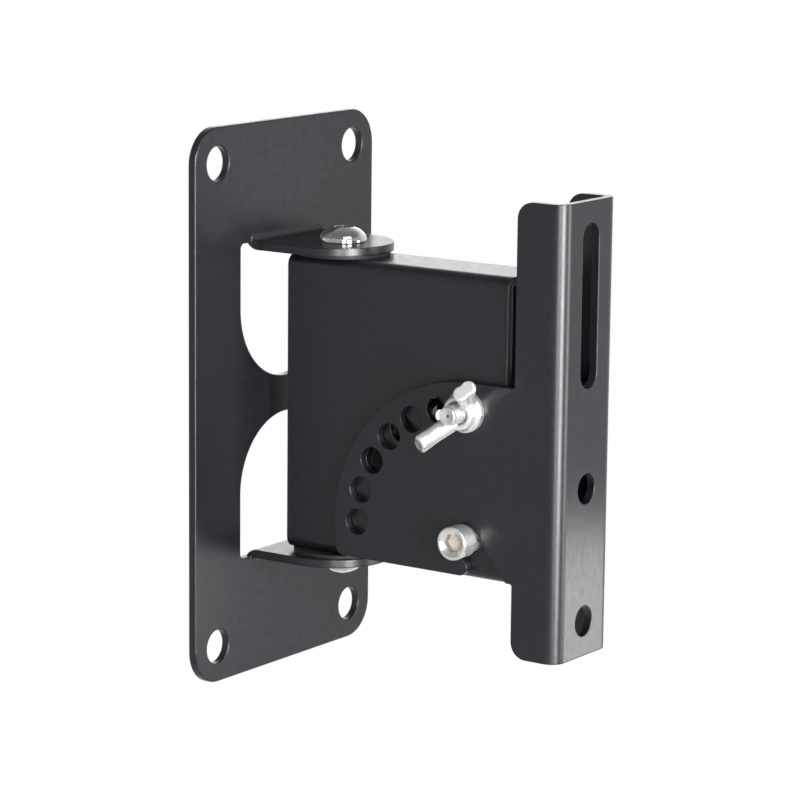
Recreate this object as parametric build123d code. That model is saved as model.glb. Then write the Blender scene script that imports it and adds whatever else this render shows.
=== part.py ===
from build123d import *
import os
from math import cos, pi, radians, sin, tan

# Wall bracket for a loudspeaker, in millimetres.
# +Z is up, the wall is the plane y = 0 and the bracket reaches out of it towards -Y.
# The origin is the middle of the wall plate's back face.

# Sheet steel
sheet = 2.5
edge_round = 0.4

# Wall plate, with two ears lanced out of it and folded forward
plate_width = 90.0
plate_height = 170.0
plate_corner = 11.0
wall_hole = 10.5
wall_hole_pitch_x = 68.0
wall_hole_pitch_z = 148.0
window_width = 46.0
window_web = 11.2
window_corner = 1.6
ear_width = 35.2
ear_spacing = 93.0
ear_bend = 2.2
relief_past_ear = 2.2
ear_end_offset = 21.3
swivel_offset = 23.8

# Swivel arm, a box folded round the four long edges
arm_width = 24.0
arm_bend = 0.8
arm_behind_swivel = 11.7
arm_ahead_of_swivel = 67.8
tilt_ahead_of_swivel = 55.7
tilt_drop = 33.1
arm_index_hole = 8.0
arm_index_pitch = 20.0
arm_index_count = 4

# Speaker bracket, a channel whose two flanges widen into index cheeks
cheek_clearance = 0.3
channel_bend = 2.0
channel_height = 135.0
channel_below_tilt = 33.3
web_ahead_of_tilt = 32.5
flange_depth = 15.8
flange_corner = 5.0
cheek_radius = 47.0
cheek_below_tilt = 11.1
cheek_corner = 3.0
index_radius = 39.0
index_hole = 8.0
index_pitch = 15.0
index_count = 7
hook_width = 8.6
hook_slope = 50.8
hook_tip = 2.5
inside_corner = 0.8
mouth_round = 0.6
speaker_hole = 9.2
speaker_hole_pitch = 39.8
speaker_hole_above_end = 10.6
speaker_slot_width = 9.0
speaker_slot_length = 48.5
speaker_slot_below_end = 6.4

# Swivel screws, button heads with a hexagon socket
swivel_thread = 8.0
swivel_head = 14.6
swivel_head_height = 4.7
swivel_screw_length = 20.0
swivel_socket = 5.0
swivel_nut_flats = 13.0
swivel_nut_height = 8.0
swivel_nut_washer = 15.5
glide_washer = 29.0
glide_washer_thickness = 1.0

# Tilt screw, cap head with a hexagon socket, and the lock bolt with its wing nut
tilt_thread = 6.0
tilt_head = 10.0
tilt_head_height = 6.0
tilt_screw_length = 45.0
tilt_socket = 5.0
tilt_nut_flats = 10.0
tilt_nut_height = 6.0
lock_thread = 6.0
lock_head_flats = 10.0
lock_head_height = 4.0
lock_bolt_length = 40.0
lock_bolt_sag = 0.5
small_washer = 12.4
washer_thickness = 1.6
tilt_sleeve_bore = 6.4
sleeve_end_play = 1.2
wing_hub_base = 11.8
wing_hub_top = 9.9
wing_hub_height = 3.8
wing_span = 28.6
wing_height = 13.6
wing_thickness = 4.0
wing_shoulder = 9.6
wing_tip_reach = 9.3
wing_elbow_reach = 8.6
wing_elbow_height = 2.8
wing_corner = 1.0
wing_turn = -39.0

# Fits
running_fit = 0.05
hole_play = 0.2
socket_depth_share = 0.55
head_rim_share = 0.19
head_crown_cut_share = 0.06
thread_end_chamfer = 0.6
hex_chamfer = 0.5
nut_hexagon_share = 0.7
nut_collar_share = 0.92
nut_insert_share = 0.78
nut_insert_top_share = 0.96

# Places that follow from the sizes above
arm_height = ear_spacing - 2 * glide_washer_thickness
arm_back_y = -(swivel_offset - arm_behind_swivel)
arm_front_y = -(swivel_offset + arm_ahead_of_swivel)
tilt_y = -(swivel_offset + tilt_ahead_of_swivel)
tilt_z = -tilt_drop
channel_inside = arm_width + 2 * cheek_clearance
channel_width = channel_inside + 2 * sheet
cheek_face = channel_width / 2
web_y = tilt_y - web_ahead_of_tilt
channel_bottom = tilt_z - channel_below_tilt
channel_top = channel_bottom + channel_height
lock_z = tilt_z + index_radius - lock_bolt_sag
sleeve_length = channel_width + 2 * sleeve_end_play
sleeve_face = sleeve_length / 2
tilt_sleeve = hook_width - 2 * running_fit
THROUGH = 4 * plate_height


def side_plate(outline, half_width):
    """Extrude an outline drawn in the YZ plane by half_width to both sides of x = 0."""
    return extrude(Plane.YZ * outline, amount=half_width, both=True)


def hexagon(flats):
    """Hexagon by its width across flats."""
    return RegularPolygon(radius=flats / 2, side_count=6, major_radius=False)


def round_near(face, points, radius):
    """Round the corners of a face that lie nearest to the given points."""
    for point in points:
        corner = min(face.vertices(), key=lambda v: (v.center() - Vector(*point)).length)
        face = fillet(corner, radius)
    return face


def ring(outer, inner, height):
    """Flat ring standing on z = 0."""
    return extrude(Circle(outer / 2) - Circle(inner / 2), amount=height)


def softened(solid, edges):
    """Take the sharp arris off punched edges."""
    return fillet(edges, edge_round) if edges else solid


def ear(side):
    """One folded ear, side +1 above the arm and -1 below it."""
    inner_z = ear_spacing / 2
    outer_z = inner_z + sheet
    outer_bend = ear_bend + sheet
    tangent_z = outer_z + ear_bend
    bend = Pos(-outer_bend, tangent_z) * (Circle(outer_bend) - Circle(ear_bend))
    bend &= Pos(-outer_bend, tangent_z) * Rectangle(outer_bend, outer_bend, align=(Align.MIN, Align.MAX))
    reach = ear_end_offset + ear_width / 2
    tongue = Pos(-reach, inner_z) * Rectangle(reach - outer_bend, sheet, align=(Align.MIN, Align.MIN))
    folded = side_plate(bend + tongue, ear_width / 2)
    plan = Pos(0, -ear_end_offset) * Circle(ear_width / 2)
    plan += Rectangle(ear_width, ear_end_offset, align=(Align.CENTER, Align.MAX))
    plan -= Pos(0, -swivel_offset) * Circle(swivel_thread / 2 + running_fit)
    folded &= extrude(plan, amount=THROUGH, both=True)
    return folded if side > 0 else mirror(folded, about=Plane.XY)


def window():
    """Opening that an ear leaves, with a round end towards the middle of the plate."""
    round_z = (window_web + window_width) / 2
    end_z = ear_spacing / 2 + relief_past_ear
    square = Pos(0, round_z) * Rectangle(window_width, end_z - round_z, align=(Align.CENTER, Align.MIN))
    half = window_width / 2
    square = round_near(square, [(half, end_z), (-half, end_z)], window_corner)
    tangent_z = ear_spacing / 2 + sheet + ear_bend
    lanced = Pos(0, round_z) * Rectangle(ear_width, tangent_z - round_z, align=(Align.CENTER, Align.MIN))
    round_end = Circle(half) & Rectangle(window_width, half, align=(Align.CENTER, Align.MAX))
    return square + lanced + Pos(0, round_z) * round_end


def wall_plate():
    """Plate, windows and ears, one folded sheet."""
    outline = RectangleRounded(plate_width, plate_height, plate_corner)
    outline -= GridLocations(wall_hole_pitch_x, wall_hole_pitch_z, 2, 2) * Circle(wall_hole / 2)
    outline -= window()
    outline -= mirror(window(), about=Plane.XZ)
    plate = extrude(Plane.XZ * outline, amount=sheet)
    front = plate.faces().sort_by(Axis.Y)[0]
    round_holes = [wire for wire in front.inner_wires() if wire.length < 2 * pi * wall_hole]
    rims = [front.outer_wire()] + round_holes
    plate = softened(plate, [edge for wire in rims for edge in wire.edges()])
    return plate + ear(1) + ear(-1)


def swivel_arm():
    """Folded box, open at both ends, with the swivel, tilt and index holes."""
    outer_bend = arm_bend + sheet
    section = RectangleRounded(arm_width, arm_height, outer_bend)
    section -= RectangleRounded(arm_width - 2 * sheet, arm_height - 2 * sheet, arm_bend)
    tube = Plane.XZ.offset(-arm_back_y) * section
    arm = extrude(tube, amount=arm_back_y - arm_front_y)
    swivel_hole = Pos(0, -swivel_offset) * Circle(swivel_thread / 2 + hole_play)
    arm -= extrude(swivel_hole, amount=THROUGH, both=True)
    cross_holes = Pos(tilt_y, tilt_z) * Circle(tilt_sleeve / 2 + hole_play)
    for index in range(arm_index_count):
        cross_holes += index_place(90 - index * arm_index_pitch) * Circle(arm_index_hole / 2)
    return arm - side_plate(cross_holes, arm_width)


def index_place(degrees):
    """Place on the index circle, counted from the wall side upwards, in the YZ plane."""
    turn = radians(degrees)
    return Pos(tilt_y + index_radius * cos(turn), tilt_z + index_radius * sin(turn))


def hook_corners():
    """Corners of the hook slot: wall side and speaker side at the screw, then both at the mouth."""
    slope = radians(hook_slope)
    half = hook_width / 2
    mouth_z = tilt_z - cheek_below_tilt
    corners = []
    for side in (1, -1):
        start_y = tilt_y + side * half * sin(slope)
        start_z = tilt_z - side * half * cos(slope)
        corners.append((start_y, start_z))
        corners.append((start_y - (start_z - mouth_z) / tan(slope), mouth_z))
    wall_start, wall_mouth, speaker_start, speaker_mouth = corners
    return wall_start, speaker_start, speaker_mouth, wall_mouth


def hook_slot():
    """Open slanted slot by which the bracket hangs on the tilt sleeve."""
    slot = make_face(Polyline(*hook_corners(), close=True))
    return slot + Pos(tilt_y, tilt_z) * Circle(hook_width / 2)


def cheek_outline():
    """Side view of the folded bracket: index cheek, hook and channel flange."""
    bottom = tilt_z - cheek_below_tilt
    top = tilt_z + cheek_radius
    rear = tilt_y + cheek_radius
    flange_y = web_y + flange_depth
    quadrant = Pos(tilt_y, bottom) * Rectangle(cheek_radius, top - bottom, align=(Align.MIN, Align.MIN))
    cheek = quadrant & (Pos(tilt_y, tilt_z) * Circle(cheek_radius) + below_tilt(bottom))
    cheek = round_near(cheek, [(rear, bottom)], cheek_corner)
    cheek += Pos(tilt_y, bottom) * Rectangle(tilt_y - flange_y, top - bottom, align=(Align.MAX, Align.MIN))
    flange = Pos(web_y, channel_bottom) * Rectangle(flange_depth, channel_height, align=(Align.MIN, Align.MIN))
    flange = round_near(flange, [(flange_y, channel_bottom), (flange_y, channel_top)], flange_corner)
    outline = cheek + flange
    outline = round_near(outline, [(flange_y, top), (flange_y, bottom)], inside_corner)
    outline -= hook_slot()
    mouth = hook_corners()[2:]
    outline = round_near(outline, mouth[:1], mouth_round)
    outline = round_near(outline, mouth[1:], hook_tip)
    for index in range(index_count):
        outline -= index_place(index * index_pitch) * Circle(index_hole / 2)
    return outline


def below_tilt(bottom):
    """Square lower corner of the cheek, between the tilt axis and its bottom edge."""
    return Pos(tilt_y, bottom) * Rectangle(cheek_radius, tilt_z - bottom, align=(Align.MIN, Align.MIN))


def speaker_bracket():
    """Channel and cheeks, one folded sheet, cut from a long U to the side outline."""
    depth = tilt_y + cheek_radius - web_y
    outer = Pos(0, web_y + depth) * RectangleRounded(channel_width, 2 * depth, channel_bend + sheet)
    inner = Pos(0, web_y + depth)
    inner *= RectangleRounded(channel_inside, 2 * (depth - sheet), channel_bend)
    section = outer - inner
    section &= Pos(0, web_y) * Rectangle(channel_width, depth, align=(Align.CENTER, Align.MIN))
    channel = Pos(0, 0, channel_bottom) * extrude(section, amount=channel_height)
    bracket = channel & side_plate(cheek_outline(), channel_width)
    low_hole = channel_bottom + speaker_hole_above_end
    slot_z = channel_top - speaker_slot_below_end - speaker_slot_length / 2
    holes = Pos(0, low_hole) * Circle(speaker_hole / 2)
    holes += Pos(0, low_hole + speaker_hole_pitch) * Circle(speaker_hole / 2)
    holes += Pos(0, slot_z) * Rot(0, 0, 90) * SlotOverall(speaker_slot_length, speaker_slot_width)
    web_cut = extrude(Plane.XZ.offset(-web_y - 2 * sheet) * holes, amount=4 * sheet)
    return bracket - web_cut


def shank(thread, length):
    """Screw shank from z = 0 downwards, with a chamfered end."""
    profile = Polyline(
        (0, 0),
        (thread / 2, 0),
        (thread / 2, -length + thread_end_chamfer),
        (thread / 2 - thread_end_chamfer, -length),
        (0, -length),
        close=True,
    )
    return revolve(Plane.XZ * make_face(profile), axis=Axis.Z)


def button_screw(thread, length, head, head_height, socket):
    """Button head on z = 0 with its shank below, and a hexagon socket."""
    rise = head_height * (1 + head_crown_cut_share - head_rim_share)
    dome_radius = ((head / 2) ** 2 + rise**2) / (2 * rise)
    dome_top = head_height * (1 + head_crown_cut_share)
    body = Cylinder(head / 2, head_height, align=(Align.CENTER, Align.CENTER, Align.MIN))
    body &= Pos(0, 0, dome_top - dome_radius) * Sphere(dome_radius)
    screw = body + shank(thread, length)
    depth = socket_depth_share * head_height
    return screw - Pos(0, 0, head_height - depth) * extrude(hexagon(socket), amount=head_height)


def cap_screw(thread, length, head, head_height, socket):
    """Cylinder head on z = 0 with its shank below, and a hexagon socket."""
    body = chamfer(
        Cylinder(head / 2, head_height, align=(Align.CENTER, Align.CENTER, Align.MIN)).edges().sort_by(Axis.Z)[-1],
        edge_round,
    )
    screw = body + shank(thread, length)
    depth = socket_depth_share * head_height
    bore = Pos(0, 0, head_height - depth) * extrude(hexagon(socket), amount=head_height)
    mouth = Pos(0, 0, head_height) * Cone(socket / 2, socket / 2 + hex_chamfer, hex_chamfer,
                                          align=(Align.CENTER, Align.CENTER, Align.MAX))
    return screw - bore - mouth


def hex_prism(flats, height):
    """Hexagon standing on z = 0 with its upper corners turned off."""
    corner = flats / 2 / cos(radians(30))
    profile = Polyline(
        (0, 0),
        (corner, 0),
        (corner, height - hex_chamfer),
        (flats / 2 - hex_chamfer / 2, height),
        (0, height),
        close=True,
    )
    turned = revolve(Plane.XZ * make_face(profile), axis=Axis.Z)
    return extrude(hexagon(flats), amount=height) & turned


def hex_bolt(thread, length, flats, head_height):
    """Hexagon head on z = 0 with its shank below."""
    return hex_prism(flats, head_height) + shank(thread, length)


def lock_nut_body(thread, flats, height):
    """Steel body of a locking nut on z = 0, hexagon below and a thin collar above."""
    hexagon_height = nut_hexagon_share * height
    collar = nut_collar_share * flats
    body = hex_prism(flats, hexagon_height)
    body += Cylinder(collar / 2, height, align=(Align.CENTER, Align.CENTER, Align.MIN))
    body -= Cylinder(thread / 2 + running_fit, THROUGH)
    seat = Pos(0, 0, hexagon_height) * extrude(Circle(insert_diameter(flats) / 2), amount=height)
    return body - seat


def insert_diameter(flats):
    """Outside of the nylon ring that a locking nut's collar holds."""
    return nut_insert_share * flats


def lock_nut_ring(thread, flats, height):
    """Nylon ring, seated in the collar of its nut and just below its rim."""
    low = nut_hexagon_share * height
    high = nut_insert_top_share * height
    return Pos(0, 0, low) * ring(insert_diameter(flats), thread + 2 * running_fit, high - low)


def wing_nut():
    """Wing nut standing on z = 0, its wings along local X."""
    hub = Cone(wing_hub_base / 2, wing_hub_top / 2, wing_hub_height,
               align=(Align.CENTER, Align.CENTER, Align.MIN))
    thread_clear = lock_thread / 2 + running_fit
    tip = wing_span / 2
    foot = wing_hub_base / 2
    outline = [
        (thread_clear, edge_round),
        (foot, edge_round),
        (wing_elbow_reach, wing_elbow_height),
        (tip, wing_shoulder),
        (wing_tip_reach, wing_height),
        (wing_hub_top / 2, wing_hub_height),
        (thread_clear, wing_hub_height),
    ]
    wing = make_face(Polyline(*outline, close=True))
    wing = round_near(wing, outline[2:5], wing_corner)
    blade = extrude(Plane.XZ * wing, amount=wing_thickness / 2, both=True)
    blade = fillet(blade.faces().filter_by(Axis.Y).edges(), edge_round)
    nut = hub + blade + mirror(blade, about=Plane.YZ)
    return nut - Cylinder(thread_clear, THROUGH)


def facing(part, x, y, z, outward):
    """Turn a part's local +Z to +X or -X and set its base at a place."""
    return Pos(x, y, z) * Rot(0, 90 * outward, 0) * part


def standing(part, side, z):
    """Set a part on the swivel axis with its local +Z up, or down for side -1."""
    turned = part if side > 0 else Rot(180, 0, 0) * part
    return Pos(0, -swivel_offset, side * z) * turned


def swivel_parts(side):
    """Screw, glide washer, nut and washers at the upper or lower end of the arm."""
    ear_face = ear_spacing / 2 + sheet
    inside = arm_height / 2 - sheet
    nut_seat = inside - washer_thickness
    screw = button_screw(swivel_thread, swivel_screw_length, swivel_head, swivel_head_height, swivel_socket)
    glide = ring(glide_washer, swivel_thread + 2 * hole_play, glide_washer_thickness)
    washer = ring(swivel_nut_washer, swivel_thread + 2 * hole_play, washer_thickness)
    body = lock_nut_body(swivel_thread, swivel_nut_flats, swivel_nut_height)
    insert = lock_nut_ring(swivel_thread, swivel_nut_flats, swivel_nut_height)
    name = "upper" if side > 0 else "lower"
    return {
        name + "_swivel_screw": standing(screw, side, ear_face),
        name + "_glide_washer": standing(glide, side, arm_height / 2),
        name + "_nut_washer": standing(washer, side, nut_seat),
        name + "_swivel_nut": standing(Rot(180, 0, 0) * body, side, nut_seat),
        name + "_nut_insert": standing(Rot(180, 0, 0) * insert, side, nut_seat),
    }


def tilt_parts():
    """Cap screw through both cheeks and the arm, with its washer and nut on the far side."""
    screw = cap_screw(tilt_thread, tilt_screw_length, tilt_head, tilt_head_height, tilt_socket)
    sleeve = ring(tilt_sleeve, tilt_sleeve_bore, sleeve_length)
    washer = ring(small_washer, tilt_thread + 2 * hole_play, washer_thickness)
    body = lock_nut_body(tilt_thread, tilt_nut_flats, tilt_nut_height)
    insert = lock_nut_ring(tilt_thread, tilt_nut_flats, tilt_nut_height)
    nut_x = sleeve_face + washer_thickness
    return {
        "tilt_screw": facing(screw, -sleeve_face, tilt_y, tilt_z, -1),
        "tilt_sleeve": facing(sleeve, -sleeve_face, tilt_y, tilt_z, 1),
        "tilt_washer": facing(washer, sleeve_face, tilt_y, tilt_z, 1),
        "tilt_nut": facing(body, nut_x, tilt_y, tilt_z, 1),
        "tilt_nut_insert": facing(insert, nut_x, tilt_y, tilt_z, 1),
    }


def lock_parts():
    """Lock bolt through cheeks and arm, with its washer and wing nut on the near side."""
    bolt = hex_bolt(lock_thread, lock_bolt_length, lock_head_flats, lock_head_height)
    washer = ring(small_washer, lock_thread + 2 * running_fit, washer_thickness)
    nut = Rot(0, 0, wing_turn) * wing_nut()
    return {
        "lock_bolt": facing(bolt, cheek_face, tilt_y, lock_z, 1),
        "clamp_washer": facing(washer, -cheek_face, tilt_y, lock_z, -1),
        "wing_nut": facing(nut, -cheek_face - washer_thickness, tilt_y, lock_z, -1),
    }


def bracket_nodes():
    """Every separate piece by its node name."""
    nodes = {
        "wall_plate": wall_plate(),
        "swivel_arm": swivel_arm(),
        "speaker_bracket": speaker_bracket(),
    }
    nodes.update(swivel_parts(1))
    nodes.update(swivel_parts(-1))
    nodes.update(tilt_parts())
    nodes.update(lock_parts())
    return nodes


os.makedirs("parts", exist_ok=True)
for name, solid in bracket_nodes().items():
    export_step(solid, f"parts/{name}.step")
    print(f"{name}: {solid.volume:.0f} mm3")
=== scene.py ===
import logging
import math
from dataclasses import dataclass, field
from enum import Enum
from typing import Any, Callable, Iterable

import bmesh
import bpy
from mathutils import Matrix, Vector


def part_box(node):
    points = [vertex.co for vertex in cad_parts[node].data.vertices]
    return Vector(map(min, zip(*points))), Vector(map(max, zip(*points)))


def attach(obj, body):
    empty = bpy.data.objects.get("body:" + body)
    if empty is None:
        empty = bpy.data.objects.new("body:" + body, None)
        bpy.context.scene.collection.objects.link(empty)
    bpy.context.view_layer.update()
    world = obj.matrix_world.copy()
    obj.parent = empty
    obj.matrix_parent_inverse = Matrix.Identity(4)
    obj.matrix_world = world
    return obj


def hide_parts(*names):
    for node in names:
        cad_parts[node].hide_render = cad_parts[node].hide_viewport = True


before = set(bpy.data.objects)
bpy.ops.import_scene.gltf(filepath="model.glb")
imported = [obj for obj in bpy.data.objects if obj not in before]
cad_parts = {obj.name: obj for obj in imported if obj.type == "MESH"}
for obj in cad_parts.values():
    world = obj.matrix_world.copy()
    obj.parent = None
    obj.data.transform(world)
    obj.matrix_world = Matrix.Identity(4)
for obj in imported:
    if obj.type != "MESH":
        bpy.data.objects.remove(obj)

# Metres in a millimetre.
MM = 0.001
# Faces that meet at more degrees than this keep a sharp edge.
SHARP_ANGLE = 35.0
# Nearly all values of a noise texture lie between these two.
NOISE_SPREAD = (0.3, 0.7)
# Height from a thread's last ring to the full shank, in millimetres.
RUN_OUT = 0.1
WHITE = (1.0, 1.0, 1.0, 1.0)
log = logging.getLogger("speaker_bracket_scene")
Colour = tuple[float, float, float]
Pair = tuple[float, float]
RadiusByAngle = Callable[[float], float]


class End(Enum):
    """End of the swivel axis, as the sign of its Z direction."""

    UPPER = 1
    LOWER = -1


class Shade(Enum):
    """How the faces of a made mesh are shaded."""

    SMOOTH = "smooth"
    BY_ANGLE = "by_angle"


@dataclass(frozen=True)
class Ring:
    """One ring of a turned mesh, in millimetres: its radius by angle, and its height where the radius is 0."""

    height: float
    radius: RadiusByAngle
    slope: float = 0.0

    def point(self, angle: float) -> tuple[float, float, float]:
        """Point of the ring at one angle, in metres."""
        reach = self.radius(angle)
        return reach * math.cos(angle) * MM, reach * math.sin(angle) * MM, (self.height + self.slope * reach) * MM


@dataclass(frozen=True)
class NodeTree:
    """The node tree of a material or the world, with short ways to add and join nodes."""

    owner: bpy.types.ID

    def add(self, kind: str, **values: object) -> bpy.types.Node:
        """Add a node and set its plain properties.

        Args:
            kind: Blender's node type name.
            values: Properties to set on the node.

        Returns:
            The new node.
        """
        node = self.owner.node_tree.nodes.new(kind)
        for name, value in values.items():
            setattr(node, name, value)
        return node

    def join(self, source: bpy.types.NodeSocket, target: bpy.types.NodeSocket) -> None:
        """Link an output socket to an input socket."""
        self.owner.node_tree.links.new(source, target)

    def feed(self, value: bpy.types.NodeSocket | float, target: bpy.types.NodeSocket) -> None:
        """Link an output socket to an input socket, or set the input to a constant.

        Args:
            value: The output socket, or the constant.
            target: The input socket.
        """
        if isinstance(value, bpy.types.NodeSocket):
            self.join(value, target)
        else:
            target.default_value = value

    def output(self, surface: bpy.types.NodeSocket, kind: str = "ShaderNodeOutputMaterial") -> bpy.types.ID:
        """Add the output node.

        Args:
            surface: The shader's socket.
            kind: Blender's type name of the output node.

        Returns:
            The material or the world that owns the tree.
        """
        self.join(surface, self.add(kind).inputs["Surface"])
        return self.owner

    def noise(self, scale: float, detail: float, roughness: float = 0.5) -> bpy.types.NodeSocket:
        """Add a noise texture in object space.

        Args:
            scale: Noise scale per metre.
            detail: Number of octaves.
            roughness: Weight of the finer octaves.

        Returns:
            The noise value's socket.
        """
        coordinates = self.add("ShaderNodeTexCoord")
        texture = self.add("ShaderNodeTexNoise")
        texture.inputs["Scale"].default_value = scale
        texture.inputs["Detail"].default_value = detail
        texture.inputs["Roughness"].default_value = roughness
        self.join(coordinates.outputs["Object"], texture.inputs["Vector"])
        return texture.outputs["Fac"]

    def ramp(self, source: bpy.types.NodeSocket, colours: tuple[Colour, Colour], blend: Pair) -> bpy.types.NodeSocket:
        """Map a value to a blend of two colours.

        Args:
            source: The value's socket.
            colours: Colours at the blend's start and stop.
            blend: Values where the blend starts and stops.

        Returns:
            The colour's socket.
        """
        node = self.add("ShaderNodeValToRGB")
        for element, colour, position in zip(node.color_ramp.elements, colours, blend):
            element.position = position
            element.color = (*colour, 1.0)
        self.join(source, node.inputs["Fac"])
        return node.outputs["Color"]

    def map_range(
        self, source: bpy.types.NodeSocket, start: Pair, result: Pair, kind: str = "LINEAR"
    ) -> bpy.types.NodeSocket:
        """Map a value from one range to another.

        Args:
            source: The value's socket.
            start: Ends of the value's range.
            result: Results at those ends, held beyond them.
            kind: Blender's name of the interpolation.

        Returns:
            The result's socket.
        """
        node = self.add("ShaderNodeMapRange", interpolation_type=kind)
        for name, limit in zip(("From Min", "From Max", "To Min", "To Max"), (*start, *result)):
            node.inputs[name].default_value = limit
        self.join(source, node.inputs["Value"])
        return node.outputs["Result"]

    def compute(
        self, operation: str, first: bpy.types.NodeSocket, second: bpy.types.NodeSocket | float
    ) -> bpy.types.NodeSocket:
        """Combine two values.

        Args:
            operation: Blender's name of the operation.
            first: The first value's socket.
            second: The second value's socket, or a constant.

        Returns:
            The result's socket.
        """
        node = self.add("ShaderNodeMath", operation=operation)
        self.join(first, node.inputs[0])
        self.feed(second, node.inputs[1])
        return node.outputs["Value"]

    def choose(
        self,
        flag: bpy.types.NodeSocket,
        when_set: bpy.types.NodeSocket | float,
        otherwise: bpy.types.NodeSocket | float,
    ) -> bpy.types.NodeSocket:
        """Choose between two values by a light path flag.

        Args:
            flag: The flag's socket.
            when_set: Value where the flag is 1.
            otherwise: Value where the flag is 0.

        Returns:
            The chosen value's socket.
        """
        choice = self.add("ShaderNodeMix", data_type="FLOAT")
        self.join(flag, choice.inputs["Factor"])
        self.feed(otherwise, choice.inputs["A"])
        self.feed(when_set, choice.inputs["B"])
        return choice.outputs["Result"]

    def bump(
        self, height: bpy.types.NodeSocket, depth: float, normal: bpy.types.NodeSocket | None
    ) -> bpy.types.NodeSocket:
        """Add a bump to the surface.

        Args:
            height: The height's socket.
            depth: Depth of the bump, in metres.
            normal: The normal to start from, or None for the mesh's own.

        Returns:
            The bumped normal's socket.
        """
        node = self.add("ShaderNodeBump")
        node.inputs["Distance"].default_value = depth
        self.join(height, node.inputs["Height"])
        if normal is not None:
            self.join(normal, node.inputs["Normal"])
        return node.outputs["Normal"]

    def round_edges(self, radius: float, samples: int) -> bpy.types.NodeSocket:
        """Add a normal that rounds the edges off.

        Args:
            radius: Radius of the edges, in metres.
            samples: Samples taken round each point.

        Returns:
            The rounded normal's socket.
        """
        node = self.add("ShaderNodeBevel", samples=samples)
        node.inputs["Radius"].default_value = radius
        return node.outputs["Normal"]

    def principled(
        self, tone: bpy.types.NodeSocket, colours: tuple[Colour, Colour], blend: Pair, rough: Pair
    ) -> bpy.types.Node:
        """Add a principled shader whose colour and roughness follow one noise.

        Args:
            tone: The noise value's socket.
            colours: Colours at the blend's start and stop.
            blend: Values where the blend starts and stops.
            rough: Roughness at the noise's low and high end.

        Returns:
            The shader node.
        """
        shader = self.add("ShaderNodeBsdfPrincipled")
        self.join(self.ramp(tone, colours, blend), shader.inputs["Base Color"])
        self.join(self.map_range(tone, NOISE_SPREAD, rough), shader.inputs["Roughness"])
        return shader


def new_material(name: str) -> NodeTree:
    """Make an empty node material.

    Args:
        name: The material's name.

    Returns:
        Its node tree helper.
    """
    material = bpy.data.materials.new(name)
    material.use_nodes = True
    material.node_tree.nodes.clear()
    return NodeTree(material)


@dataclass(frozen=True)
class PowderCoat:
    """Satin black powder coat: fine texture, orange peel and soft folded edges."""

    name: str = "satin_black_coat"
    dark: Colour = (0.0070, 0.0069, 0.0105)
    light: Colour = (0.0100, 0.0098, 0.0140)
    blend: Pair = (0.35, 0.65)
    rough_low: float = 0.28
    rough_high: float = 0.34
    specular: float = 0.75
    peel_scale: float = 420.0
    peel_detail: float = 3.0
    peel_depth: float = 0.000010
    grain_scale: float = 2600.0
    grain_detail: float = 2.0
    grain_depth: float = 0.000012
    edge_round: float = 0.0006
    edge_samples: int = 6

    def make(self) -> bpy.types.Material:
        """Build the material.

        Returns:
            The finished material.
        """
        tree = new_material(self.name)
        peel = tree.noise(self.peel_scale, self.peel_detail)
        grain = tree.noise(self.grain_scale, self.grain_detail)
        shader = tree.principled(peel, (self.dark, self.light), self.blend, (self.rough_low, self.rough_high))
        shader.inputs["Specular IOR Level"].default_value = self.specular
        edges = tree.round_edges(self.edge_round, self.edge_samples)
        peeled = tree.bump(peel, self.peel_depth, edges)
        tree.join(tree.bump(grain, self.grain_depth, peeled), shader.inputs["Normal"])
        return tree.output(shader.outputs["BSDF"])


@dataclass(frozen=True)
class Plating:
    """Bright plated steel, with faint variation in tone and polish."""

    name: str = "bright_plating"
    dark: Colour = (0.84, 0.83, 0.81)
    light: Colour = (0.94, 0.93, 0.91)
    rough_low: float = 0.10
    rough_high: float = 0.18
    metallic: float = 0.80
    edge_round: float = 0.00025
    edge_samples: int = 4
    blend: Pair = (0.3, 0.6)
    mottle_scale: float = 260.0
    mottle_detail: float = 4.0
    mottle_roughness: float = 0.6
    grain_scale: float = 3000.0
    grain_detail: float = 2.0
    grain_depth: float = 0.000002

    def make(self) -> bpy.types.Material:
        """Build the material.

        Returns:
            The finished material.
        """
        tree = new_material(self.name)
        mottle = tree.noise(self.mottle_scale, self.mottle_detail, self.mottle_roughness)
        grain = tree.noise(self.grain_scale, self.grain_detail)
        shader = tree.principled(mottle, (self.dark, self.light), self.blend, (self.rough_high, self.rough_low))
        shader.inputs["Metallic"].default_value = self.metallic
        edges = tree.round_edges(self.edge_round, self.edge_samples) if self.edge_round > 0.0 else None
        tree.join(tree.bump(grain, self.grain_depth, edges), shader.inputs["Normal"])
        return tree.output(shader.outputs["BSDF"])


@dataclass(frozen=True)
class Nylon:
    """Matt black moulded nylon."""

    name: str = "black_nylon"
    dark: Colour = (0.010, 0.010, 0.010)
    light: Colour = (0.020, 0.020, 0.020)
    blend: Pair = (0.35, 0.65)
    rough_low: float = 0.50
    rough_high: float = 0.65
    grain_scale: float = 1400.0
    grain_detail: float = 3.0
    grain_depth: float = 0.00001

    def make(self) -> bpy.types.Material:
        """Build the material.

        Returns:
            The finished material.
        """
        tree = new_material(self.name)
        grain = tree.noise(self.grain_scale, self.grain_detail)
        shader = tree.principled(grain, (self.dark, self.light), self.blend, (self.rough_low, self.rough_high))
        tree.join(tree.bump(grain, self.grain_depth, None), shader.inputs["Normal"])
        return tree.output(shader.outputs["BSDF"])


def made_with(finish: PowderCoat | Plating | Nylon) -> Any:
    """Dataclass field whose value is the finish's material."""
    return field(default_factory=finish.make)


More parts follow.
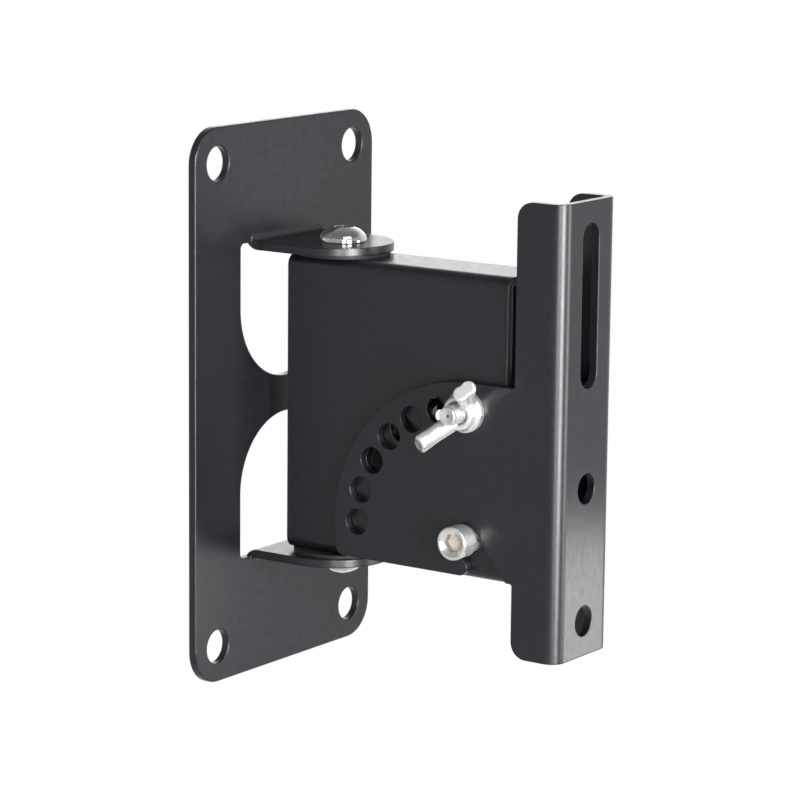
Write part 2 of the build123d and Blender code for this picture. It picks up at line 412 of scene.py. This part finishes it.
@dataclass
class Finishes:
    """Every finish of the bracket, made once."""

    coat: bpy.types.Material = made_with(PowderCoat())
    plating: bpy.types.Material = made_with(Plating())
    button_plating: bpy.types.Material = made_with(
        Plating("button_plating", (0.84, 0.83, 0.82), (0.92, 0.91, 0.90), 0.05, 0.09, 0.97)
    )
    wing_plating: bpy.types.Material = made_with(
        Plating("wing_plating", (0.88, 0.87, 0.86), (0.97, 0.96, 0.95), 0.15, 0.24, 0.68)
    )
    thread_plating: bpy.types.Material = made_with(
        Plating("thread_plating", (0.50, 0.49, 0.48), (0.62, 0.61, 0.60), 0.30, 0.40, 0.50, edge_round=0.0)
    )
    # Painted shade: a dark plating for the bolt's thread grooves and the bottom of its dished end.
    groove_painted_shade: bpy.types.Material = made_with(
        Plating("groove_painted_shade", (0.08, 0.074, 0.068), (0.14, 0.13, 0.12), 0.45, 0.60, 0.20, edge_round=0.0)
    )
    # Tan tint of the socket's walls, darkened with painted shade for the recess.
    socket_tint_and_shade: bpy.types.Material = made_with(
        Plating("socket_tint_and_shade", (0.26, 0.21, 0.165), (0.42, 0.35, 0.29), 0.34, 0.50, 0.60, edge_round=0.0)
    )
    # Painted light: the socket's floor made lighter than its walls, as a highlight.
    socket_floor_painted_light: bpy.types.Material = made_with(
        Plating("socket_floor_painted_light", (0.70, 0.62, 0.55), (0.96, 0.91, 0.86), 0.34, 0.50, 0.35, edge_round=0.0)
    )
    nylon: bpy.types.Material = made_with(Nylon())


def ease(share: float) -> float:
    """Share from 0 to 1 with a soft start and stop."""
    return share * share * (3 - 2 * share)


def corner_radius(flats: float) -> float:
    """Radius of a hexagon's corners, from its width across flats."""
    return flats / 2 / math.cos(math.pi / 6)


def round_radius(radius: float) -> RadiusByAngle:
    """Radius of a circle, the same at every angle."""
    return lambda angle: radius


def hexagon_radius(flats: float, limit: float = math.inf, turn: float = 0.0) -> RadiusByAngle:
    """Radius of a hexagon whose corners may be turned off.

    Args:
        flats: Width across flats.
        limit: Largest radius, where a chamfer cuts the corners.
        turn: Angle of a flat's middle, in degrees.

    Returns:
        The radius by angle.
    """

    def radius(angle: float) -> float:
        """Radius at one angle."""
        sector = (angle - math.radians(turn) + math.pi / 6) % (math.pi / 3) - math.pi / 6
        return min(flats / 2 / math.cos(sector), limit)

    return radius


def round_rings(profile: Iterable[Pair]) -> list[Ring]:
    """Round rings from pairs of height and radius, in the order given."""
    return [Ring(height, round_radius(radius)) for height, radius in profile]


@dataclass(frozen=True)
class Thread:
    """A right-hand thread: its diameter and pitch in millimetres, and its form in shares of the pitch."""

    diameter: float
    pitch: float
    depth: float = 0.54
    flank_slope: float = 2.5
    fade_in: float = 0.5
    fade_out: float = 1.0
    per_pitch: int = 10

    @property
    def radius(self) -> float:
        """Radius over the crests."""
        return self.diameter / 2

    def rings(self, start: float, stop: float) -> list[Ring]:
        """Rings of the thread, which runs into a shank of half its depth at both ends.

        Args:
            start: Height where the thread begins.
            stop: Height where it ends.

        Returns:
            The rings in order of height.
        """
        count = max(2, int(round(abs(stop - start) / self.pitch * self.per_pitch)))
        heights = [start + (stop - start) * i / count for i in range(count + 1)]
        return [Ring(height, self._form(height, start, stop)) for height in heights]

    def _form(self, height: float, start: float, stop: float) -> RadiusByAngle:
        """Radius by angle at one height of the thread.

        Args:
            height: The height.
            start: Height where the thread begins.
            stop: Height where it ends.

        Returns:
            The radius by angle.
        """
        depth = self.depth * self.pitch
        run_in = abs(height - start) / (self.fade_in * self.pitch)
        run_out = abs(stop - height) / (self.fade_out * self.pitch)
        fade = min(1.0, run_in, run_out)

        def radius(angle: float) -> float:
            """Radius at one angle, smallest at half a pitch from the crest.

            Args:
                angle: The angle.

            Returns:
                The radius.
            """
            phase = (height / self.pitch - angle / (2 * math.pi)) % 1.0
            groove = min(1.0, max(0.0, self.flank_slope / 2 - self.flank_slope * abs(phase - 0.5)))
            return self.radius - depth * (1.0 - fade) / 2 - depth * groove * fade

        return radius


def skin(body: bmesh.types.BMesh, loops: list[list[bmesh.types.BMVert]], around: int) -> None:
    """Join each loop of points to the next with faces.

    Args:
        body: The body that holds the points.
        loops: Loops of points, or of one point where the body ends in a tip.
        around: Points round a loop.
    """
    for lower, upper in zip(loops, loops[1:]):
        for i in range(around):
            j = (i + 1) % around
            corners = (lower[i % len(lower)], lower[j % len(lower)], upper[j % len(upper)], upper[i % len(upper)])
            unique = list(dict.fromkeys(corners))
            if len(unique) > 2:
                body.faces.new(unique)


def body_mesh(name: str, body: bmesh.types.BMesh) -> bpy.types.Mesh:
    """Turn a body's faces outwards, make it a mesh and free the body.

    Args:
        name: The mesh's name.
        body: The body.

    Returns:
        The mesh.
    """
    bmesh.ops.recalc_face_normals(body, faces=body.faces)
    mesh = bpy.data.meshes.new(name)
    body.to_mesh(mesh)
    body.free()
    return mesh


def turned_mesh(name: str, rings: list[Ring], segments: int) -> bpy.types.Mesh:
    """Skin a stack of rings into a closed mesh, in metres.

    Args:
        name: The mesh's name.
        rings: Rings from one end of the axis to the other, along the surface.
        segments: Points round each ring.

    Returns:
        The mesh, its axis along local Z.
    """
    body = bmesh.new()
    angles = [2 * math.pi * i / segments for i in range(segments)]
    loops: list[list[bmesh.types.BMVert]] = []
    for ring in rings:
        if ring.radius(0.0) <= 0.0:
            loops.append([body.verts.new((0.0, 0.0, ring.height * MM))])
        else:
            loops.append([body.verts.new(ring.point(angle)) for angle in angles])
    skin(body, loops, segments)
    return body_mesh(name, body)


def axis_matrix(base: Vector, outward: Vector, across: Vector) -> Matrix:
    """Matrix that sets local Z along outward and local X along across, at base.

    Args:
        base: Place of the local origin, in metres.
        outward: Direction of local Z.
        across: Direction of local X.

    Returns:
        The matrix.
    """
    third = outward.cross(across)
    turned = Matrix((across, third, outward)).transposed().to_4x4()
    return Matrix.Translation(base) @ turned


def add_object(name: str, data: bpy.types.ID) -> bpy.types.Object:
    """Link data to the scene as an object.

    Args:
        name: The object's name.
        data: Its mesh, light or camera.

    Returns:
        The object.
    """
    made = bpy.data.objects.new(name, data)
    bpy.context.scene.collection.objects.link(made)
    return made


def add_piece(name: str, mesh: bpy.types.Mesh, shade: Shade = Shade.BY_ANGLE) -> bpy.types.Object:
    """Link a mesh to the scene as a piece and set its shading.

    Args:
        name: The piece's name.
        mesh: Its mesh.
        shade: Smooth everywhere, or sharp where faces meet at a large angle.

    Returns:
        The piece.
    """
    piece = add_object(name, mesh)
    mesh.shade_smooth()
    if shade is Shade.BY_ANGLE:
        mesh.set_sharp_from_angle(angle=math.radians(SHARP_ANGLE))
    return piece


def dress_node(node: str, material: bpy.types.Material) -> None:
    """Give a CAD node its finish.

    Args:
        node: The node's name.
        material: The finish.
    """
    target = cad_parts[node]
    target.data.materials.clear()
    target.data.materials.append(material)
    log.info("dressed %s with %s", node, material.name)


def stand_for(piece: bpy.types.Object, node: str, body: str) -> None:
    """Let a made piece stand for a CAD node.

    Args:
        piece: The made piece.
        node: The CAD node it replaces.
        body: The body it rides on.
    """
    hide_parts(node)
    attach(piece, body)
    log.info("made %s for %s", piece.name, node)


def node_centre(node: str) -> Vector:
    """Middle of a CAD node's box, in metres."""
    low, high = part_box(node)
    return (low + high) / 2


@dataclass
class CameraRig:
    """Camera at the photograph's viewpoint, in metres and degrees."""

    place: tuple[float, float, float] = (-0.81286, -0.61192, 0.19049)
    azimuth: float = -55.13
    elevation: float = 10.74
    roll: float = 0.61
    focal_px: float = 3340.39
    image_px: float = 800.0
    sensor_mm: float = 36.0
    nearest: float = 0.05
    farthest: float = 60.0

    def build(self) -> None:
        """Make the camera and set it as the scene's."""
        data = bpy.data.cameras.new("view_camera")
        data.sensor_width = self.sensor_mm
        data.lens = self.focal_px * self.sensor_mm / self.image_px
        data.clip_start = self.nearest
        data.clip_end = self.farthest
        camera = add_object("view_camera", data)
        a, e, r = (math.radians(v) for v in (self.azimuth, self.elevation, self.roll))
        back = Vector((math.sin(a) * math.cos(e), -math.cos(a) * math.cos(e), math.sin(e)))
        right = Vector((math.cos(a), math.sin(a), 0.0))
        rolled = right * math.cos(r) + back.cross(right) * math.sin(r)
        camera.matrix_world = axis_matrix(Vector(self.place), back, rolled)
        bpy.context.scene.camera = camera


@dataclass(frozen=True)
class Softbox:
    """A rectangular studio light, in metres, watts and degrees."""

    name: str
    place: tuple[float, float, float]
    aim: tuple[float, float, float]
    width: float
    height: float
    power: float
    spread: float = 180.0

    def build(self) -> None:
        """Make the light."""
        data = bpy.data.lights.new(self.name, "AREA")
        data.shape = "RECTANGLE"
        data.size = self.width
        data.size_y = self.height
        data.energy = self.power
        data.spread = math.radians(self.spread)
        light = add_object(self.name, data)
        place = Vector(self.place)
        turned = (place - Vector(self.aim)).normalized().to_track_quat("Z", "Y").to_matrix().to_4x4()
        light.matrix_world = Matrix.Translation(place) @ turned
        light.visible_camera = False


@dataclass
class Studio:
    """Pale floor, white surroundings and soft lights."""

    floor_level: float = -0.42
    floor_reach: float = 9.0
    floor_grey: float = 0.86
    floor_white: float = 0.985
    ambient: float = 0.32
    room: float = 0.41
    wall: float = 0.80
    ceiling: float = 0.28
    ceiling_from: float = 0.45
    ceiling_to: float = 0.75
    backdrop_side: tuple[float, float, float] = (0.82, 0.57, 0.0)
    backdrop_from: float = 0.0
    backdrop_to: float = 1.0
    boxes: tuple[Softbox, ...] = (
        Softbox("top_box", (-0.55, -1.2, 1.5), (0.0, -0.05, 0.0), 1.1, 0.8, 6.0),
        Softbox("key_box", (-0.57, -1.41, 0.06), (0.0, -0.11, 0.0), 0.42, 0.90, 28.0),
        Softbox("side_box", (-1.14, -1.02, 0.22), (0.0, -0.05, 0.0), 0.34, 1.20, 12.0),
        Softbox("back_box", (1.7, 1.25, 0.42), (0.0, -0.05, 0.0), 1.6, 0.7, 6.4),
        Softbox("front_box", (0.61, -1.37, -0.08), (0.0, -0.05, 0.0), 0.40, 0.60, 5.6),
        Softbox("low_box", (0.121, -0.196, -0.098), (0.0, -0.112, -0.07), 0.07, 0.07, 0.0034, 34.0),
    )

    def build(self) -> None:
        """Make the floor, the world and the lights."""
        self._floor()
        self._world()
        for box in self.boxes:
            box.build()
        bpy.context.scene.view_settings.view_transform = "Standard"
        log.info("studio with %d lights", len(self.boxes))

    def _floor(self) -> None:
        """Make the pale floor, near white to the camera and as bright as the backdrop to metal."""
        reach = self.floor_reach
        mesh = bpy.data.meshes.new("floor")
        corners = [(-reach, -reach), (reach, -reach), (reach, reach), (-reach, reach)]
        mesh.from_pydata([(x, y, self.floor_level) for x, y in corners], [], [(0, 1, 2, 3)])
        floor = add_object("floor", mesh)
        tree = new_material("pale_floor")
        path = tree.add("ShaderNodeLightPath")
        diffuse = tree.add("ShaderNodeBsdfDiffuse")
        diffuse.inputs["Color"].default_value = (self.floor_grey, self.floor_grey, self.floor_grey, 1.0)
        white = tree.add("ShaderNodeEmission")
        white.inputs["Color"].default_value = WHITE
        backdrop = self._backdrop(tree, tree.add("ShaderNodeTexCoord").outputs["Object"])
        tree.join(tree.choose(path.outputs["Is Glossy Ray"], backdrop, 1.0), white.inputs["Strength"])
        seen = tree.compute("MAXIMUM", path.outputs["Is Camera Ray"], path.outputs["Is Transmission Ray"])
        share = tree.compute("MULTIPLY", seen, self.floor_white)
        mix = tree.add("ShaderNodeMixShader")
        tree.join(tree.compute("MAXIMUM", share, path.outputs["Is Glossy Ray"]), mix.inputs["Fac"])
        tree.join(diffuse.outputs["BSDF"], mix.inputs[1])
        tree.join(white.outputs["Emission"], mix.inputs[2])
        mesh.materials.append(tree.output(mix.outputs["Shader"]))

    def _world(self) -> None:
        """Make the surroundings: white to the camera, backdrop and darker ceiling to metal, softer as light."""
        world = bpy.data.worlds.new("white_surround")
        bpy.context.scene.world = world
        world.use_nodes = True
        world.node_tree.nodes.clear()
        tree = NodeTree(world)
        path = tree.add("ShaderNodeLightPath")
        direction = tree.add("ShaderNodeTexCoord").outputs["Generated"]
        split = tree.add("ShaderNodeSeparateXYZ")
        tree.join(direction, split.inputs["Vector"])
        overhead = tree.map_range(
            split.outputs["Z"], (self.ceiling_from, self.ceiling_to), (self.wall, self.ceiling), "SMOOTHSTEP"
        )
        reflected = tree.compute("MULTIPLY", overhead, self._backdrop(tree, direction))
        shine = tree.choose(path.outputs["Is Glossy Ray"], reflected, self.ambient)
        seen = tree.compute("MAXIMUM", path.outputs["Is Camera Ray"], path.outputs["Is Transmission Ray"])
        background = tree.add("ShaderNodeBackground")
        background.inputs["Color"].default_value = WHITE
        tree.join(tree.choose(seen, 1.0, shine), background.inputs["Strength"])
        tree.output(background.outputs["Background"], "ShaderNodeOutputWorld")

    def _backdrop(self, tree: NodeTree, place: bpy.types.NodeSocket) -> bpy.types.NodeSocket:
        """Brightness that metal sees in a direction: white on the backdrop's side, darker on the room's.

        Args:
            tree: The node tree to add to.
            place: The direction, of any length.

        Returns:
            The brightness's socket.
        """
        unit = tree.add("ShaderNodeVectorMath", operation="NORMALIZE")
        tree.join(place, unit.inputs[0])
        towards = tree.add("ShaderNodeVectorMath", operation="DOT_PRODUCT")
        tree.join(unit.outputs["Vector"], towards.inputs[0])
        towards.inputs[1].default_value = self.backdrop_side
        return tree.map_range(
            towards.outputs["Value"], (self.backdrop_from, self.backdrop_to), (self.room, 1.0), "SMOOTHSTEP"
        )


@dataclass
class SheetParts:
    """The three folded steel pieces, which keep their CAD shapes."""

    finishes: Finishes
    nodes: tuple[str, ...] = ("wall_plate", "swivel_arm", "speaker_bracket")

    def dress(self) -> None:
        """Give each sheet piece its powder coat."""
        for node in self.nodes:
            dress_node(node, self.finishes.coat)


@dataclass
class SmallParts:
    """Sleeve, glide washers, hidden nuts and washers, which keep their CAD shapes."""

    finishes: Finishes
    plated: tuple[str, ...] = (
        "upper_nut_washer", "lower_nut_washer", "upper_swivel_nut", "lower_swivel_nut",
        "tilt_nut", "tilt_washer", "tilt_sleeve", "clamp_washer",
    )
    moulded: tuple[str, ...] = (
        "upper_glide_washer", "lower_glide_washer", "upper_nut_insert", "lower_nut_insert", "tilt_nut_insert",
    )

    def dress(self) -> None:
        """Give each small piece its plating or its nylon."""
        for node in self.plated:
            dress_node(node, self.finishes.plating)
        for node in self.moulded:
            dress_node(node, self.finishes.nylon)


@dataclass
class SwivelScrew:
    """Button head screw on the swivel axis, its thread inside the arm.

    The end chamfer and the socket's lip are pairs of height and width. The rim's edge lists heights above the
    head's underside, each with its inset from the head's radius.
    """

    end: End
    finishes: Finishes
    thread: Thread = Thread(8.0, 1.25, per_pitch=8)
    length: float = 20.0
    plain: float = 3.0
    end_chamfer: Pair = (0.6, 0.7)
    head: float = 14.6
    head_height: float = 4.7
    rim: float = 0.4
    rim_edge: tuple[Pair, ...] = ((0.0, 0.25), (0.1, 0.05))
    crown: float = 5.0
    dome_steps: int = 40
    socket: float = 5.0
    socket_depth: float = 2.6
    socket_lip: Pair = (0.18, 0.25)
    drill_depth: float = 0.7
    segments: int = 96

    def node(self) -> str:
        """Name of the CAD node that this screw stands for."""
        return ("upper" if self.end is End.UPPER else "lower") + "_swivel_screw"

    def dome_height(self, reach: float) -> float:
        """Height of the domed head at a distance from its axis."""
        share = min(1.0, 2 * reach / self.head)
        return min(self.head_height, self.rim + (self.crown - self.rim) * math.sqrt(1.0 - share**2))

    def rings(self) -> list[Ring]:
        """Rings from the shank's end up over the head and into the socket.

        Returns:
            The rings in order along the surface.
        """
        tail, shank, radius = -self.length, self.thread.radius, self.head / 2
        chamfer_height, chamfer_width = self.end_chamfer
        lip_height, lip_width = self.socket_lip
        lip = corner_radius(self.socket) + lip_width
        reaches = [radius * math.cos(math.pi / 2 * step / self.dome_steps) for step in range(self.dome_steps + 1)]
        bottom = self.head_height - self.socket_depth
        return [
            *round_rings([(tail, 0.0), (tail, shank - chamfer_width)]),
            *self.thread.rings(tail + chamfer_height, -self.plain),
            *round_rings([(RUN_OUT - self.plain, shank), (0.0, shank)]),
            *round_rings((height, radius - inset) for height, inset in self.rim_edge),
            *round_rings((self.dome_height(reach), reach) for reach in reaches if reach > lip),
            *round_rings([(self.dome_height(lip), lip)]),
            Ring(self.dome_height(lip) - lip_height, hexagon_radius(self.socket)),
            Ring(bottom, hexagon_radius(self.socket)),
            *round_rings([(bottom - self.drill_depth, 0.0)]),
        ]

    def build(self) -> None:
        """Make the screw and let it stand for its CAD node."""
        mesh = turned_mesh(self.node() + "_dressed", self.rings(), self.segments)
        sign = self.end.value
        low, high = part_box(self.node())
        foot = low.z if self.end is End.UPPER else high.z
        centre = node_centre(self.node())
        base = Vector((centre.x, centre.y, foot + sign * self.length * MM))
        mesh.transform(axis_matrix(base, Vector((0, 0, sign)), Vector((1, 0, 0))))
        mesh.materials.append(self.finishes.button_plating)
        stand_for(add_piece(self.node() + "_dressed", mesh), self.node(), "arm")


@dataclass
class TiltScrew:
    """Socket cap screw of the tilt axis.

    The chamfers and the sink's lip are pairs of height and width. The top edge lists drops below the head's top,
    each with its inset from the head's radius.
    """

    finishes: Finishes
    thread: Thread = Thread(6.0, 1.0)
    threaded: float = 14.0
    length: float = 45.0
    end_chamfer: Pair = (0.5, 0.6)
    head: float = 10.0
    head_height: float = 6.0
    under_chamfer: Pair = (0.2, 0.2)
    top_edge: tuple[Pair, ...] = ((0.55, 0.0), (0.25, 0.07), (0.07, 0.25), (0.0, 0.50))
    sink: float = 3.9
    sink_lip: Pair = (0.12, 0.15)
    sink_slope: float = 0.75
    socket: float = 5.3
    socket_turn: float = 36.0
    socket_depth: float = 3.2
    drill_depth: float = 0.9
    wall_lean: float = 0.3
    reach_margin: float = 0.03
    segments: int = 96
    node: str = "tilt_screw"

    def hexagon(self) -> RadiusByAngle:
        """Radius by angle of the turned socket."""
        return hexagon_radius(self.socket, turn=self.socket_turn)

    def rings(self) -> list[Ring]:
        """Rings from the shank's end up over the head and into the socket.

        Returns:
            The rings in order along the surface.
        """
        tail, shank, radius, top = -self.length, self.thread.radius, self.head / 2, self.head_height
        chamfer_height, chamfer_width = self.end_chamfer
        under_height, under_width = self.under_chamfer
        lip_height, lip_width = self.sink_lip
        bottom = top - self.socket_depth
        return [
            *round_rings([(tail, 0.0), (tail, shank - chamfer_width)]),
            *self.thread.rings(tail + chamfer_height, tail + self.threaded),
            *round_rings([(tail + self.threaded + RUN_OUT, shank), (0.0, shank)]),
            *round_rings([(0.0, radius - under_width), (under_height, radius)]),
            *round_rings((top - drop, radius - inset) for drop, inset in self.top_edge),
            *round_rings([(top, self.sink + lip_width), (top - lip_height, self.sink)]),
            Ring(top - lip_height - self.sink * self.sink_slope, self.hexagon(), self.sink_slope),
            Ring(bottom, self.hexagon()),
            *round_rings([(bottom - self.drill_depth, 0.0)]),
        ]

    def paint_socket_tint_and_light(self, mesh: bpy.types.Mesh) -> None:
        """Paint the socket: a tan tint with painted shade on its walls, and a painted highlight on its floor.

        Args:
            mesh: The screw's mesh, its axis along local Z.
        """
        plating, walls, floor = range(3)
        bottom = (self.head_height - self.socket_depth) * MM
        inner = (corner_radius(self.socket) + self.reach_margin) * MM
        # Faces on the socket's floor get the painted highlight, and its walls the painted shade.
        for face in mesh.polygons:
            inside = face.center.z > 0.0 and math.hypot(face.center.x, face.center.y) < inner
            if inside and abs(face.normal.z) < self.wall_lean:
                face.material_index = walls
            else:
                face.material_index = floor if inside and face.center.z < bottom else plating

    def build(self) -> None:
        """Make the screw and let it stand for its CAD node."""
        mesh = turned_mesh("tilt_screw_dressed", self.rings(), self.segments)
        # The socket's walls get the tint with painted shade, and its floor a painted highlight.
        for finish in (self.finishes.plating, self.finishes.socket_tint_and_shade, self.finishes.socket_floor_painted_light):
            mesh.materials.append(finish)
        self.paint_socket_tint_and_light(mesh)
        low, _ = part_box(self.node)
        centre = node_centre(self.node)
        base = Vector((low.x + self.head_height * MM, centre.y, centre.z))
        mesh.transform(axis_matrix(base, Vector((-1, 0, 0)), Vector((0, 1, 0))))
        stand_for(add_piece("tilt_screw_dressed", mesh), self.node, "arm")


@dataclass
class LockBolt:
    """Hexagon head bolt that locks the tilt, its threaded end on the near side.

    The dished end lists heights above the bolt's end, each with its radius. The head's hollow lists drops below
    the head's top, each with its inset from half the width across flats.
    """

    finishes: Finishes
    thread: Thread = Thread(6.0, 1.0, per_pitch=12)
    threaded: float = 19.0
    length: float = 40.0
    dished_end: tuple[Pair, ...] = (
        (0.85, 0.0), (0.60, 0.55), (0.25, 1.55), (0.06, 2.25), (0.0, 2.45), (0.12, 2.62),
    )
    thread_from: float = 0.3
    # Shade is painted from this height above the bolt's end, on faces deeper than groove_from below the crests.
    dish_shade_from: float = 0.5
    groove_from: float = 0.28
    flats: float = 10.0
    head_height: float = 4.0
    corner_cut: float = 0.35
    under_chamfer: float = 0.35
    top_chamfer: Pair = (0.75, 0.35)
    top_inset: float = 0.1
    hollow: tuple[Pair, ...] = ((0.0, 0.9), (0.15, 1.2))
    segments: int = 72
    node: str = "lock_bolt"

    def rings(self) -> list[Ring]:
        """Rings from the dished thread end to the top of the head.

        Returns:
            The rings in order along the surface.
        """
        tail, shank, top, half = -self.length, self.thread.radius, self.head_height, self.flats / 2
        cut_corners = hexagon_radius(self.flats, corner_radius(self.flats) - self.corner_cut)
        corners = hexagon_radius(self.flats)
        chamfer_drop, corner_drop = self.top_chamfer
        hollow_drop, _ = self.hollow[-1]
        return [
            *round_rings((tail + height, radius) for height, radius in self.dished_end),
            *self.thread.rings(tail + self.thread_from, tail + self.threaded),
            *round_rings([(tail + self.threaded + RUN_OUT, shank), (0.0, shank)]),
            Ring(0.0, cut_corners),
            Ring(self.under_chamfer, corners),
            Ring(top - chamfer_drop, corners),
            Ring(top - corner_drop, cut_corners),
            Ring(top, hexagon_radius(self.flats, half - self.top_inset)),
            *round_rings((top - drop, half - inset) for drop, inset in self.hollow),
            *round_rings([(top - hollow_drop, 0.0)]),
        ]

    def paint_groove_shade(self, mesh: bpy.types.Mesh) -> None:
        """Paint shade into the thread's grooves and the bottom of the end's dish with a darker material.

        Args:
            mesh: The bolt's mesh, its axis along local Z.
        """
        start = (self.dish_shade_from - self.length) * MM
        stop = (self.threaded - self.length) * MM
        root = (self.thread.radius - self.groove_from) * MM
        for face in mesh.polygons:
            reach = math.hypot(face.center.x, face.center.y)
            face.material_index = int(start < face.center.z < stop and reach < root)

    def build(self) -> None:
        """Make the bolt and let it stand for its CAD node."""
        mesh = turned_mesh("lock_bolt_dressed", self.rings(), self.segments)
        mesh.materials.append(self.finishes.thread_plating)
        # The second material is painted shade in the grooves and the dish.
        mesh.materials.append(self.finishes.groove_painted_shade)
        self.paint_groove_shade(mesh)
        _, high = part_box(self.node)
        centre = node_centre(self.node)
        base = Vector((high.x - self.head_height * MM, centre.y, centre.z))
        mesh.transform(axis_matrix(base, Vector((1, 0, 0)), Vector((0, 1, 0))))
        stand_for(add_piece("lock_bolt_dressed", mesh), self.node, "arm")


@dataclass
class WingNut:
    """Cold-formed wing nut: a collared hub with two flared, waisted wings.

    Root and tip are a wing's ends as pairs of reach and height. The collar lists heights with their insets from
    the base's radius, and the shoulder lists drops below the top with their insets from the top's radius.
    """

    finishes: Finishes
    bore: float = 6.3
    countersink: float = 0.7
    hub_base: float = 11.8
    hub_top: float = 9.9
    hub_height: float = 3.8
    collar: tuple[Pair, ...] = ((0.0, 0.3), (0.3, 0.0), (0.9, 0.0), (1.35, 0.45))
    shoulder: tuple[Pair, ...] = ((0.6, -0.1), (0.12, 0.25), (0.0, 0.6))
    hub_segments: int = 64
    root: Pair = (3.9, 1.9)
    tip: Pair = (12.0, 11.4)
    root_width: float = 6.0
    waist_width: float = 5.6
    waist_at: float = 0.5
    tip_width: float = 7.5
    thickness: float = 4.7
    root_flare: float = 0.8
    waist_share: float = 0.87
    end_round: float = 1.3
    stations: int = 26
    around: int = 36
    wing_angle: float = 49.0
    grain: float = 0.17
    soften_factor: float = 0.5
    soften_rounds: int = 6
    node: str = "wing_nut"

    def hub_mesh(self) -> bpy.types.Mesh:
        """Turn the hub with its rounded collar and countersunk bore.

        Returns:
            The hub's mesh, standing on local z = 0.
        """
        base, top, bore, height = self.hub_base / 2, self.hub_top / 2, self.bore / 2, self.hub_height
        profile = [
            (0.0, bore),
            *((rise, base - inset) for rise, inset in self.collar),
            *((height - drop, top - inset) for drop, inset in self.shoulder),
            (height, bore + self.countersink),
            (height - self.countersink, bore),
            (0.0, bore),
        ]
        return turned_mesh("wing_hub", round_rings(profile), self.hub_segments)

    def wing_mesh(self) -> bpy.types.Mesh:
        """Loft one wing from its root to its rounded end.

        Returns:
            The wing's mesh, in the local XZ plane.
        """
        root, tip = Vector((self.root[0], 0.0, self.root[1])), Vector((self.tip[0], 0.0, self.tip[1]))
        along = (tip - root).normalized()
        broad = Vector((along.z, 0.0, -along.x))
        thick = Vector((0.0, 1.0, 0.0))
        length = (tip - root).length
        body = bmesh.new()
        loops: list[list[bmesh.types.BMVert]] = []
        for step in range(self.stations + 1):
            share = step / self.stations
            place = length * share
            shrink = self._shrink(length - place)
            width = self._width(share) * shrink
            thickness = (self.thickness + self.root_flare * (1.0 - share) ** 2) * shrink
            section = []
            for i in range(self.around):
                reach, half = self._lobes(2 * math.pi * i / self.around, width, thickness)
                section.append(body.verts.new((root + along * place + broad * reach + thick * half) * MM))
            loops.append(section)
        skin(body, loops, self.around)
        body.faces.new(loops[0])
        body.faces.new(loops[-1])
        return body_mesh("wing_blade", body)

    def _shrink(self, left: float) -> float:
        """Share of its full section that a wing has where a length of it is left."""
        edge = min(1.0, left / self.end_round)
        return 1.0 - self.end_round / self.tip_width * (1.0 - math.sqrt(max(0.0, 1.0 - (1.0 - edge) ** 2)))

    def _lobes(self, angle: float, width: float, thickness: float) -> Pair:
        """Point on a wing's section, two round lobes joined by a waist.

        Args:
            angle: Angle round the section.
            width: Width over both lobes.
            thickness: Thickness of a lobe.

        Returns:
            Distances from the section's middle, along the width and along the thickness.
        """
        radius = thickness / 2
        reach = width / 2 * math.cos(angle)
        lobe = width / 2 - radius
        beyond = abs(reach) - lobe
        if beyond > 0.0:
            half = math.sqrt(max(0.0, radius**2 - beyond**2))
        else:
            half = radius * (self.waist_share + (1.0 - self.waist_share) * ease(abs(reach) / lobe))
        return reach, math.copysign(half, math.sin(angle))

    def _width(self, share: float) -> float:
        """Width of the wing, narrowest at its waist.

        Args:
            share: Share of the wing's length from its root.

        Returns:
            The width.
        """
        if share < self.waist_at:
            return self.root_width + (self.waist_width - self.root_width) * ease(share / self.waist_at)
        beyond = (share - self.waist_at) / (1.0 - self.waist_at)
        return self.waist_width + (self.tip_width - self.waist_width) * ease(beyond)

    def rough_mesh(self) -> bpy.types.Mesh:
        """Put the hub and both wings together, not yet fused.

        Returns:
            The mesh of the three, the hub's axis along local Z.
        """
        joined = bmesh.new()
        joined.from_mesh(self.hub_mesh())
        for turn in (0.0, math.pi):
            wing = self.wing_mesh()
            wing.transform(Matrix.Rotation(turn, 4, "Z"))
            joined.from_mesh(wing)
        rough = bpy.data.meshes.new("wing_nut_rough")
        joined.to_mesh(rough)
        joined.free()
        return rough

    def fused_mesh(self) -> bpy.types.Mesh:
        """Fuse hub and wings into one skin and soften its creases.

        Returns:
            The mesh of the whole nut, the hub's axis along local Z.
        """
        draft = add_object("wing_nut_draft", self.rough_mesh())
        remesh = draft.modifiers.new("fuse", "REMESH")
        remesh.mode = "VOXEL"
        remesh.voxel_size = self.grain * MM
        soften = draft.modifiers.new("soften", "SMOOTH")
        soften.factor = self.soften_factor
        soften.iterations = self.soften_rounds
        bpy.context.view_layer.update()
        mesh = bpy.data.meshes.new_from_object(draft.evaluated_get(bpy.context.evaluated_depsgraph_get()))
        mesh.name = "wing_nut_dressed"
        bpy.data.objects.remove(draft)
        return mesh

    def build(self) -> None:
        """Make the wing nut and let it stand for its CAD node."""
        mesh = self.fused_mesh()
        _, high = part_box(self.node)
        centre = node_centre(self.node)
        base = Vector((high.x, centre.y, centre.z))
        mesh.transform(Matrix.Rotation(math.radians(self.wing_angle), 4, "Z"))
        mesh.transform(axis_matrix(base, Vector((-1, 0, 0)), Vector((0, 1, 0))))
        mesh.materials.clear()
        mesh.materials.append(self.finishes.wing_plating)
        stand_for(add_piece("wing_nut_dressed", mesh, Shade.SMOOTH), self.node, "wing")


def main() -> None:
    """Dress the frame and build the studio."""
    logging.basicConfig(level=logging.INFO, format="%(message)s")
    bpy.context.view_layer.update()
    CameraRig().build()
    Studio().build()
    finishes = Finishes()
    SheetParts(finishes).dress()
    SmallParts(finishes).dress()
    for end in End:
        SwivelScrew(end, finishes).build()
    TiltScrew(finishes).build()
    LockBolt(finishes).build()
    WingNut(finishes).build()
    log.info("wrote the two boxes")


if __name__ == "__main__":
    main()
